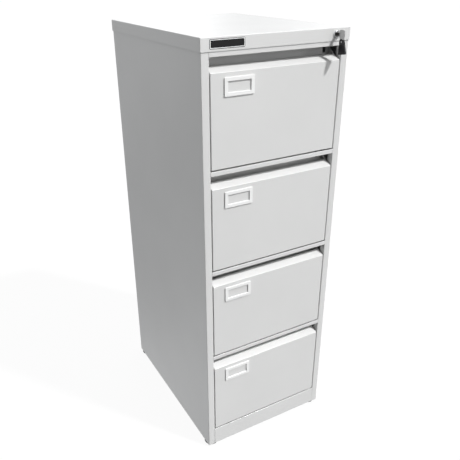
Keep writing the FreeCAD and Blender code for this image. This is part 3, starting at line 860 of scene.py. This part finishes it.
@dataclass
class Badge:
    """A blank black name plate with a thin light border."""

    rim_inset: float = 1.4 * MM
    rim_width: float = 1.4 * MM
    rim_rise: float = 0.2 * MM
    rim_depth: float = 0.3 * MM
    corner: float = 3 * MM
    edge: float = 0.25 * MM
    body: str = "carcass"

    def outline(self, low: Point, high: Point, corner: float, steps: int = 5) -> list[Point]:
        """A rectangle with round corners.

        Args:
            low: Its lowest corner.
            high: Its highest corner.
            corner: The corners' radius.
            steps: The facets of each corner.

        Returns:
            Its points, anticlockwise.
        """
        centres = [
            (high[0] - corner, high[1] - corner), (low[0] + corner, high[1] - corner),
            (low[0] + corner, low[1] + corner), (high[0] - corner, low[1] + corner),
        ]
        points = []
        for quarter, (x, y) in enumerate(centres):
            for step in range(steps + 1):
                angle = math.tau * (quarter + step / steps) / 4
                points.append((x + corner * math.cos(angle), y + corner * math.sin(angle)))
        return points

    def build(self) -> None:
        """Builds the plate and its border."""
        low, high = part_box("badge")
        plate = Piece("badge_plate", Finish.BADGE, self.body, ["badge"])
        outline = self.outline((low.x, low.z), (high.x, high.z), self.corner)
        front, back = low.y + self.rim_rise, high.y

        def at_front(edge: bmesh.types.BMEdge) -> bool:
            """Whether the edge goes round the plate's front face."""
            return all(abs(vertex.co.y - front) < TOUCH for vertex in edge.verts)

        plate.prism(Axis.Y, outline, front, back, self.edge, choose=at_front)
        plate.done()
        rim = Piece("badge_border", Finish.EDGING, self.body)
        part = bmesh.new()
        inset = self.rim_inset
        outer = self.outline((low.x + inset, low.z + inset), (high.x - inset, high.z - inset),
                             self.corner - inset)
        part.faces.new([part.verts.new((x, low.y, z)) for x, z in outer])
        part.normal_update()
        if part.faces[:][0].normal.y > 0:
            bmesh.ops.reverse_faces(part, faces=part.faces[:])
        middle = part.faces[:]
        bmesh.ops.inset_region(part, faces=middle, thickness=self.rim_width, use_boundary=True,
                               use_even_offset=True)
        whole = max(part.faces, key=lambda face: face.calc_area())
        bmesh.ops.delete(part, geom=[whole], context="FACES_ONLY")
        bmesh.ops.solidify(part, geom=part.faces[:], thickness=self.rim_depth)
        rim.take(part)
        rim.done()


# --------------------------------------------------------------------------------------- drawers


@dataclass
class Drawer:
    """One drawer: front pan with its lip, handle channel, tub, label holder and ball cages."""

    number: int
    gauge: float = 0.8 * MM
    bend: float = 1.0 * MM
    cheek_rise: float = 32 * MM
    cheek_drop: float = 20 * MM
    cheek_depth: float = 47 * MM
    cheek_hem: float = 4.5 * MM
    lip_run: float = 26 * MM
    lip_rise: float = 14 * MM
    lip_hem: float = 8 * MM
    pan_depth: float = 20 * MM
    pan_upturn: float = 14 * MM
    channel_flange: float = 12 * MM
    key_gap: float = 5 * MM
    channel_bend: float = 2.0 * MM
    file_rail: float = 10 * MM
    tub_bend: float = 1.4 * MM
    wall_inset: float = 1.2 * MM
    wall_gap: float = 0.05 * MM
    edge: float = 0.2 * MM
    window_width: float = 69 * MM
    window_height: float = 28 * MM
    holder_corner: float = 2.2 * MM
    holder_rim: float = 0.7 * MM
    cage_length: float = 225 * MM
    cage_margin: float = 8 * MM
    cage_lip: float = 3 * MM
    cage_width: float = 5.2 * MM
    cage_gauge: float = 0.7 * MM
    cage_edge: float = 0.15 * MM
    runner_gauge: float = 1.2 * MM
    ball_radius: float = 1.7 * MM
    ball_pitch: float = 11 * MM

    @property
    def body(self) -> str:
        """The drawer's own body."""
        return f"drawer_{self.number}"

    def node(self, name: str) -> str:
        """The name of one of the drawer's CAD nodes."""
        return f"drawer_{self.number}_{name}"

    def build(self) -> None:
        """Builds every piece of the drawer."""
        self.front()
        self.handle_channel()
        self.tub()
        self.label_holder()
        self.ball_cages()

    def front(self) -> None:
        """Folds the pan: face, bottom flange, sloping lip with its hem, and two end cheeks."""
        node = self.node("front")
        low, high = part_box(node)
        fold_z = high.z - self.cheek_rise
        lip_y, lip_z = low.y + self.lip_run, fold_z + self.lip_rise
        pan_y, cheek_y = low.y + self.pan_depth, low.y + self.cheek_depth
        outline = [
            (low.y, low.z), (low.y, fold_z), (lip_y, lip_z), (cheek_y, high.z),
            (cheek_y, fold_z - self.cheek_drop), (pan_y, fold_z - self.cheek_drop), (pan_y, low.z),
        ]
        piece = Piece(f"{node}_shell", Finish.COAT, self.body, [node])
        part = bmesh.new()
        end = part.faces.new([part.verts.new((low.x, y, z)) for y, z in outline])
        grown = bmesh.ops.extrude_face_region(part, geom=[end])["geom"]
        pull(part, grown, Vector((high.x - low.x, 0.0, 0.0)))
        bmesh.ops.recalc_face_normals(part, faces=part.faces[:])

        def is_open(face: bmesh.types.BMFace) -> bool:
            """Whether the face is one that the folded pan doesn't have."""
            if abs(face.normal.x) > ALONG:
                return False
            middle, slack = face.calc_center_median(), 0.1 * MM
            behind_lip = middle.y > lip_y - slack and middle.z > low.z + slack
            return behind_lip or face.normal.y > ALONG

        bmesh.ops.delete(part, geom=[face for face in part.faces if is_open(face)], context="FACES")
        lip_edge = [
            edge for edge in part.edges
            if all(abs(v.co.y - lip_y) < TOUCH and abs(v.co.z - lip_z) < TOUCH for v in edge.verts)
        ]
        grown = bmesh.ops.extrude_edge_only(part, edges=lip_edge)["geom"]
        pull(part, grown, Vector((0.0, 0.0, -self.lip_hem)))
        bmesh.ops.recalc_face_normals(part, faces=part.faces[:])
        face_plate = min(part.faces, key=lambda face: face.calc_center_median().y)
        if face_plate.normal.y > 0:
            bmesh.ops.reverse_faces(part, faces=part.faces[:])
        folds = [edge for edge in part.edges if len(edge.link_faces) == 2]
        round_edges(part, folds, self.bend, segments=3)
        bmesh.ops.solidify(part, geom=part.faces[:], thickness=self.gauge)
        piece.take(part)
        flange = [(high.y, low.z + self.pan_upturn), (high.y, low.z), (pan_y, low.z)]
        piece.fold(Axis.X, flange, low.x, high.x, -self.gauge, self.bend)
        slope = [(lip_y, lip_z), (cheek_y, high.z)]
        hem = slope + [(y, z - self.gauge) for y, z in reversed(slope)]
        for start, end in ((low.x, low.x + self.cheek_hem), (high.x - self.cheek_hem, high.x)):
            piece.prism(Axis.X, hem, start, end, self.edge, segments=1)
        piece.done()

    def handle_channel(self) -> None:
        """Folds the trough that the fingers reach into; its wall is notched where the key hangs."""
        node = self.node("handle_channel")
        low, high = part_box(node)
        wall_y, tub_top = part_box(self.node("tub"))[0].y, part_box(self.node("tub"))[1].z
        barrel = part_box("lock_barrel")
        key_x = (barrel[0].x + barrel[1].x) / 2
        notch_start, notch_end = key_x - self.key_gap, key_x + self.key_gap
        trough = [(low.y, low.z + self.channel_flange), (low.y, low.z), (wall_y, low.z)]
        top = high.z - self.gauge
        whole = trough + [(wall_y, top), (high.y, top)]
        notched = trough + [(wall_y, tub_top)]
        piece = Piece(f"{node}_shell", Finish.COAT, self.body, [node])
        stretches = [
            (whole, low.x, notch_start), (notched, notch_start, notch_end), (whole, notch_end, high.x),
        ]
        for section, start, end in stretches:
            piece.fold(Axis.X, section, start, end, self.gauge, self.channel_bend, segments=4)
        piece.done()

    def tub(self) -> None:
        """Folds the tub with its file rails along the top, and closes its front with a wall."""
        node = self.node("tub")
        low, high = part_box(node)
        rail = self.file_rail
        path = [
            (low.x + rail, high.z), (low.x, high.z), (low.x, low.z),
            (high.x, low.z), (high.x, high.z), (high.x - rail, high.z),
        ]
        piece = Piece(f"{node}_shell", Finish.COAT, self.body, [node])
        piece.fold(Axis.Y, path, low.y, high.y, self.gauge, self.tub_bend)
        inset = self.wall_inset
        wall = rectangle((low.x + inset, low.z + inset), (high.x - inset, high.z - inset))
        piece.prism(Axis.Y, wall, low.y + self.wall_gap, low.y + self.gauge, self.edge, segments=1)
        piece.done()

    def label_holder(self) -> None:
        """Presses the raised frame round the card's window."""
        node = self.node("label_holder")
        low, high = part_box(node)
        middle = (low + high) / 2
        half = Vector((self.window_width / 2, 0.0, self.window_height / 2))
        piece = Piece(f"{node}_frame", Finish.HOLDER, self.body, [node])
        piece.ring(
            Axis.Y,
            ((low.x, low.z), (high.x, high.z)),
            ((middle.x - half.x, middle.z - half.z), (middle.x + half.x, middle.z + half.z)),
            low.y, high.y, self.holder_corner, self.holder_rim,
        )
        piece.done()

    def ball_cages(self) -> None:
        """Lays the ball cages in the gaps between the runner members."""
        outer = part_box(f"outer_runners_{self.number}")
        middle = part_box(f"middle_runners_{self.number}")
        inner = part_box(f"inner_runners_{self.number}")
        centre_z = (middle[0].z + middle[1].z) / 2
        tracks = [
            ((outer[1].z - self.runner_gauge + middle[1].z) / 2, middle[1].y - self.cage_length),
            ((middle[1].z - self.runner_gauge + inner[1].z) / 2, middle[0].y + self.cage_margin),
        ]
        lip_x = (middle[1].x + inner[1].x) / 2 - self.cage_lip
        half_width, half_gauge = self.cage_width / 2, self.cage_gauge / 2
        length = self.cage_length - 2 * self.cage_margin
        steps = [self.ball_pitch * (i + 0.5) for i in range(int(length / self.ball_pitch))]
        piece = Piece(f"runners_{self.number}_ball_cages", Finish.ZINC, f"runners_{self.number}")
        centres = []
        for upper_z, start in tracks:
            lower_z = 2 * centre_z - upper_z
            for hand in Hand:
                x = hand.value * lip_x
                for z in (lower_z, upper_z):
                    strip = rectangle((x - half_width, z - half_gauge), (x + half_width, z + half_gauge))
                    piece.prism(Axis.Y, strip, start, start + length, self.cage_edge, segments=1)
                    centres += [Vector((x, start + step, z)) for step in steps]
        piece.balls(centres, self.ball_radius)
        piece.done()


# ------------------------------------------------------------------------------------------ lock


@dataclass
class Lock:
    """The cam lock's visible metal and its folding key.

    Attributes:
        keyway_share: How deep the keyway goes, as a share of the plug's length.
        pin_profile: The pivot pin's outline, in shares of its radius and of its length.
    """

    flange_radius: float = 11 * MM
    flange_thickness: float = 3 * MM
    barrel_radius: float = 9.5 * MM
    plug_radius: float = 6.5 * MM
    turn_steps: int = 48
    bore_gap: float = 0.05 * MM
    barrel_chamfer: float = 0.4 * MM
    flange_shoulder: float = 1.28 * MM
    keyway_width: float = 2.4 * MM
    keyway_height: float = 8.4 * MM
    keyway_share: float = 0.8
    blade_height: float = 8 * MM
    bow_height: float = 19 * MM
    bow_width: float = 19 * MM
    bow_corner: float = 3.5 * MM
    blade_edge: float = 0.3 * MM
    lug_width: float = 12 * MM
    lug_steps: int = 10
    head_top_width: float = 14 * MM
    head_foot_width: float = 30 * MM
    head_top: float = 7 * MM
    head_drop: float = 32.5 * MM
    head_lean: float = math.radians(8)
    head_corner: float = 4 * MM
    head_edge: float = 0.7 * MM
    fork_depth: float = 8 * MM
    fork_gap: float = 2.4 * MM
    fork_edge: float = 0.35 * MM
    pin_profile: Sequence[Point] = (
        (0.0, 0.0), (0.8, 0.0), (1.0, 0.05), (1.0, 0.95), (0.8, 1.0), (0.0, 1.0),
    )

    def build(self) -> None:
        """Builds the barrel, plug and key."""
        self.barrel()
        self.plug()
        self.key_blade()
        self.key_head()
        self.key_pin()

    @property
    def centre(self) -> Vector:
        """The lock's axis, at the front of its flange."""
        low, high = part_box("lock_barrel")
        return Vector(((low.x + high.x) / 2, low.y, (low.z + high.z) / 2))

    @property
    def pivot(self) -> Vector:
        """The middle of the key's pivot pin."""
        low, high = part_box("key_pin")
        return (low + high) / 2

    def barrel(self) -> None:
        """Turns the barrel and its rounded flange."""
        low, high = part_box("lock_barrel")
        length = high.y - low.y
        bore, rim = self.plug_radius + self.bore_gap, self.flange_radius
        chamfer, shoulder = self.barrel_chamfer, self.flange_shoulder
        profile = [
            (bore, length), (bore, chamfer), (bore + chamfer, 0.0),
            (rim - shoulder, 0.0), (rim - chamfer, chamfer), (rim, shoulder),
            (rim, self.flange_thickness), (self.barrel_radius, self.flange_thickness),
            (self.barrel_radius, length), (bore, length),
        ]
        piece = Piece("lock_barrel_turned", Finish.CHROME, "carcass", ["lock_barrel"])
        piece.turned(self.centre, Axis.Y, profile, self.turn_steps)
        piece.done()

    def plug(self) -> None:
        """Turns the plug and cuts its keyway into the front."""
        low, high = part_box("lock_plug")
        start = low.y - self.centre.y
        length = high.y - low.y
        piece = Piece("lock_plug_turned", Finish.PLUG, "lock_plug", ["lock_plug"])
        part = bmesh.new()
        centre = self.centre + Vector((0.0, start, 0.0))
        turned = Matrix.Translation(centre) @ Matrix.Rotation(math.pi / 2, 4, "X")
        bmesh.ops.create_circle(part, cap_ends=True, segments=self.turn_steps,
                                radius=self.plug_radius, matrix=turned)
        for axis, width in ((Axis.X, self.keyway_width), (Axis.Z, self.keyway_height)):
            for offset in (width / 2, -width / 2):
                bmesh.ops.bisect_plane(
                    part, geom=part.verts[:] + part.edges[:] + part.faces[:], dist=TOUCH / 10,
                    plane_co=centre + axis.unit() * offset, plane_no=axis.unit())
        slot = min(part.faces, key=lambda face: (face.calc_center_median() - centre).length)
        depth = length * self.keyway_share
        grown = bmesh.ops.extrude_discrete_faces(part, faces=[slot])["faces"]
        bmesh.ops.translate(part, verts=grown[0].verts[:], vec=Vector((0.0, depth, 0.0)))
        rim = [edge for edge in part.edges if edge.is_boundary]
        wall = bmesh.ops.extrude_edge_only(part, edges=rim)["geom"]
        pull(part, wall, Vector((0.0, length, 0.0)))
        back = [edge for edge in part.edges if edge.is_boundary]
        bmesh.ops.contextual_create(part, geom=back)
        bmesh.ops.recalc_face_normals(part, faces=part.faces[:])
        piece.take(part)
        piece.done()

    def key_blade(self) -> None:
        """Cuts the key's blade, bow and pivot lug from one plate."""
        low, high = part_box("key_blade")
        axis_z, pivot = self.centre.z, self.pivot
        half = self.blade_height / 2
        bow_end = low.y + self.bow_width
        bow_top, bow_low = high.z, high.z - self.bow_height
        lug = self.lug_width / 2
        corner = self.bow_corner
        blade = [
            (bow_end, axis_z - half), (high.y - half * 0.8, axis_z - half), (high.y, axis_z - half * 0.2),
            (high.y, axis_z + half * 0.4), (high.y - half * 0.7, axis_z + half), (bow_end, axis_z + half),
        ]
        rounded = [
            (bow_end, bow_top - corner), (bow_end - corner * 0.3, bow_top - corner * 0.3),
            (bow_end - corner, bow_top), (low.y + corner, bow_top),
            (low.y + corner * 0.3, bow_top - corner * 0.3), (low.y, bow_top - corner), (low.y, bow_low),
        ]
        end = [
            (pivot.y + lug * math.cos(angle), pivot.z + lug * math.sin(angle))
            for angle in (math.pi * (1 + step / self.lug_steps) for step in range(self.lug_steps + 1))
        ]
        outline = blade + rounded + end + [(bow_end, bow_low)]
        piece = Piece("key_blade_cut", Finish.KEY_STEEL, "key_blade", ["key_blade"])
        piece.prism(Axis.X, outline, low.x, high.x, self.blade_edge)
        piece.done()

    def leaning(self, across: float, up: float) -> Point:
        """A point of the head, which leans forwards on its stiff pivot.

        Args:
            across: Its distance behind the pivot when the head hangs straight.
            up: Its height above the pivot.

        Returns:
            Its place in Y and Z.
        """
        cos, sin = math.cos(self.head_lean), math.sin(self.head_lean)
        return self.pivot.y + across * cos + up * sin, self.pivot.z - across * sin + up * cos

    def key_head(self) -> None:
        """Moulds the key's head: a forked top and a tapered, rounded paddle."""
        low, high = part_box("key_head")
        middle = (low.x + high.x) / 2
        top, foot = self.head_top_width / 2, self.head_foot_width / 2

        def half_width(up: float) -> float:
            """Half of the paddle's width at a height above the pivot."""
            share = (self.head_top - up) / (self.head_top + self.head_drop)
            return top + (foot - top) * share

        corner = self.head_corner
        upper, lower, fork = self.head_top, -self.head_drop, -self.fork_depth
        sides = [
            (half_width(upper) - corner * 0.9, upper),
            (half_width(upper - corner * 0.3) - corner * 0.2, upper - corner * 0.25),
            (half_width(upper - corner), upper - corner),
            (half_width(fork), fork),
        ]
        paddle = [
            (half_width(fork), fork),
            (half_width(lower + corner), lower + corner),
            (half_width(lower) - corner * 0.25, lower + corner * 0.3),
            (half_width(lower) - corner, lower),
        ]
        piece = Piece("key_head_moulded", Finish.BLACK, "key_head", ["key_head"])
        whole = [self.leaning(a, b) for a, b in mirror_pairs(paddle)]
        piece.prism(Axis.X, whole, low.x, high.x, self.head_edge, segments=3)
        cheek = [self.leaning(a, b) for a, b in mirror_pairs(sides)]
        half_gap = self.fork_gap / 2
        for start, end in ((low.x, middle - half_gap), (middle + half_gap, high.x)):
            piece.prism(Axis.X, cheek, start, end, self.fork_edge)
        piece.done()

    def key_pin(self) -> None:
        """Turns the pivot pin, with a domed head at each end."""
        low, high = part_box("key_pin")
        radius, length = (high.z - low.z) / 2, high.x - low.x
        profile = [(radius * across, length * along) for across, along in self.pin_profile]
        piece = Piece("key_pin_turned", Finish.CHROME, "key_head", ["key_pin"])
        piece.turned(Vector((low.x, self.pivot.y, self.pivot.z)), Axis.X, profile, steps=24)
        piece.done()


# ---------------------------------------------------------------------------- carried-over nodes


def dress_cad_nodes() -> None:
    """Gives each CAD node that still shows the finish of its material slot."""
    # Several finishes may share a slot; the first of them is the one for the carried-over nodes.
    finishes = {finish.slot: finish for finish in reversed(Finish)}
    slots = {row["node"]: row["material_slot"] for row in frame["record"]["subparts"]}
    for name, node in frame["nodes"].items():
        if node.hide_render:
            continue
        node.data.materials.clear()
        node.data.materials.append(finishes[slots[name]].material())
        log.info("%s: carried over, %s", name, slots[name])


# ---------------------------------------------------------------------------------------- studio


@dataclass
class Studio:
    """Pale floor, soft sky, a key light high on the right, a wide low fill light, and the camera."""

    floor_half: float = 300.0
    floor_glow: float = 0.93
    floor_albedo: float = 0.06
    camera_place: tuple[float, float, float] = (-0.8496, -1.5142, 1.4678)
    camera_heading: float = -0.4977
    camera_tilt: float = 1.1093
    camera_roll: float = -0.0132
    lens: float = 42.78
    shift: tuple[float, float] = (0.0321, 0.0199)
    key_direction: tuple[float, float, float] = (-0.392, 0.546, -0.740)
    key_strength: float = 3.25
    key_angle: float = math.radians(4)
    fill_direction: tuple[float, float, float] = (-0.40, 0.90, -0.17)
    fill_strength: float = 0.55
    fill_angle: float = math.radians(35)
    ground: float = 0.38
    horizon: float = 0.355
    zenith: float = 0.62
    bright_side: tuple[float, float, float] = (0.45, 0.89, 0.0)
    dark_share: float = 0.3
    bright_share: float = 2.5
    patch_scale: float = 5.0
    patch_stretch: tuple[float, float, float] = (1.0, 1.0, 0.4)
    patch_detail: float = 0.5
    patch_start: float = 0.38
    patch_end: float = 0.62
    patch_low: float = 0.6
    patch_high: float = 1.4
    sky_tone: Colour = (0.98, 0.99, 1.0)
    backdrop_tone: Colour = (1.0, 1.0, 1.0)

    def build(self) -> None:
        """Sets up the floor, lights and camera."""
        self.floor()
        self.sky()
        self.light("key_light", self.key_direction, self.key_strength, self.key_angle)
        self.light("fill_light", self.fill_direction, self.fill_strength, self.fill_angle)
        self.camera()

    def floor(self) -> None:
        """Lays a plain pale floor."""
        part = bmesh.new()
        bmesh.ops.create_grid(part, x_segments=1, y_segments=1, size=self.floor_half)
        data = bpy.data.meshes.new("studio_floor")
        part.to_mesh(data)
        part.free()
        floor = bpy.data.objects.new("studio_floor", data)
        bpy.context.scene.collection.objects.link(floor)
        board = NodeBoard.begin(bpy.data.materials.new("pale_floor"))
        albedo = (self.floor_albedo,) * 3
        board.surface(Base_Color=(*albedo, 1.0), Roughness=1.0, Specular_IOR_Level=0.0,
                      Emission_Color=(1.0, 1.0, 1.0, 1.0), Emission_Strength=self.floor_glow)
        data.materials.append(board.owner)
        floor.visible_diffuse = False
        floor.visible_glossy = False

    def sky(self) -> None:
        """Lights the room from all round, unevenly, more from above and from the back right.

        The uneven sky only lights the cabinet and shows in its metal; behind it is a plain backdrop.
        """
        world = bpy.data.worlds.new("soft_sky")
        bpy.context.scene.world = world
        board = NodeBoard.begin(world)
        direction = board.add("ShaderNodeTexCoord").outputs["Generated"]
        split = board.add("ShaderNodeSeparateXYZ")
        board.link(direction, split.inputs["Vector"])
        upward = board.add("ShaderNodeValToRGB")
        stops = upward.color_ramp.elements
        stops.new(0.5)
        for stop, strength in zip(stops, (self.ground, self.horizon, self.zenith)):
            stop.color = (strength, strength, strength, 1.0)
        board.link(board.spread(split.outputs["Z"], 0.0, 1.0, start=-1.0, end=1.0), upward.inputs["Fac"])
        around = board.add("ShaderNodeVectorMath", operation="DOT_PRODUCT")
        around.inputs[1].default_value = self.bright_side
        board.link(direction, around.inputs[0])
        sideways = board.spread(around.outputs["Value"], self.dark_share, self.bright_share,
                                start=-1.0, end=1.0)
        patches = board.noise(board.stretched(direction, self.patch_stretch), self.patch_scale,
                              self.patch_detail)
        patched = board.spread(patches, self.patch_low, self.patch_high, self.patch_start, self.patch_end)
        uneven = board.add("ShaderNodeBackground")
        uneven.inputs["Color"].default_value = (*self.sky_tone, 1.0)
        strength = board.times(board.times(upward.outputs["Color"], sideways), patched)
        board.link(strength, uneven.inputs["Strength"])
        backdrop = board.add("ShaderNodeBackground")
        backdrop.inputs["Color"].default_value = (*self.backdrop_tone, 1.0)
        seen = board.add("ShaderNodeMixShader")
        board.link(board.add("ShaderNodeLightPath").outputs["Is Camera Ray"], seen.inputs["Fac"])
        board.link(uneven.outputs["Background"], seen.inputs[1])
        board.link(backdrop.outputs["Background"], seen.inputs[2])
        output = board.add("ShaderNodeOutputWorld")
        board.link(seen.outputs["Shader"], output.inputs["Surface"])

    def light(self, name: str, direction: Sequence[float], strength: float, angle: float) -> None:
        """Hangs a far light.

        Args:
            name: The light's name.
            direction: Which way it shines.
            strength: How strong it is.
            angle: How wide it looks from the cabinet; wider is softer.
        """
        data = bpy.data.lights.new(name, "SUN")
        data.energy = strength
        data.angle = angle
        lamp = bpy.data.objects.new(name, data)
        lamp.rotation_mode = "QUATERNION"
        lamp.rotation_quaternion = Vector(direction).to_track_quat("-Z", "Y")
        bpy.context.scene.collection.objects.link(lamp)

    def camera(self) -> None:
        """Stands the camera in front of the cabinet's left corner, looking down."""
        data = bpy.data.cameras.new("camera")
        data.lens = self.lens
        data.shift_x, data.shift_y = self.shift
        camera = bpy.data.objects.new("camera", data)
        turn = (
            Matrix.Rotation(self.camera_heading, 4, "Z")
            @ Matrix.Rotation(self.camera_tilt, 4, "X")
            @ Matrix.Rotation(self.camera_roll, 4, "Z")
        )
        camera.matrix_world = Matrix.Translation(self.camera_place) @ turn
        bpy.context.scene.collection.objects.link(camera)
        bpy.context.scene.camera = camera
        bpy.context.scene.view_settings.view_transform = "Standard"


def main() -> None:
    logging.basicConfig(level=logging.INFO, format="%(name)s %(message)s")
    Studio().build()
    Carcass().build()
    Badge().build()
    for number in range(1, drawer_count() + 1):
        Drawer(number).build()
    Lock().build()
    dress_cad_nodes()


if __name__ == "__main__":
    main()
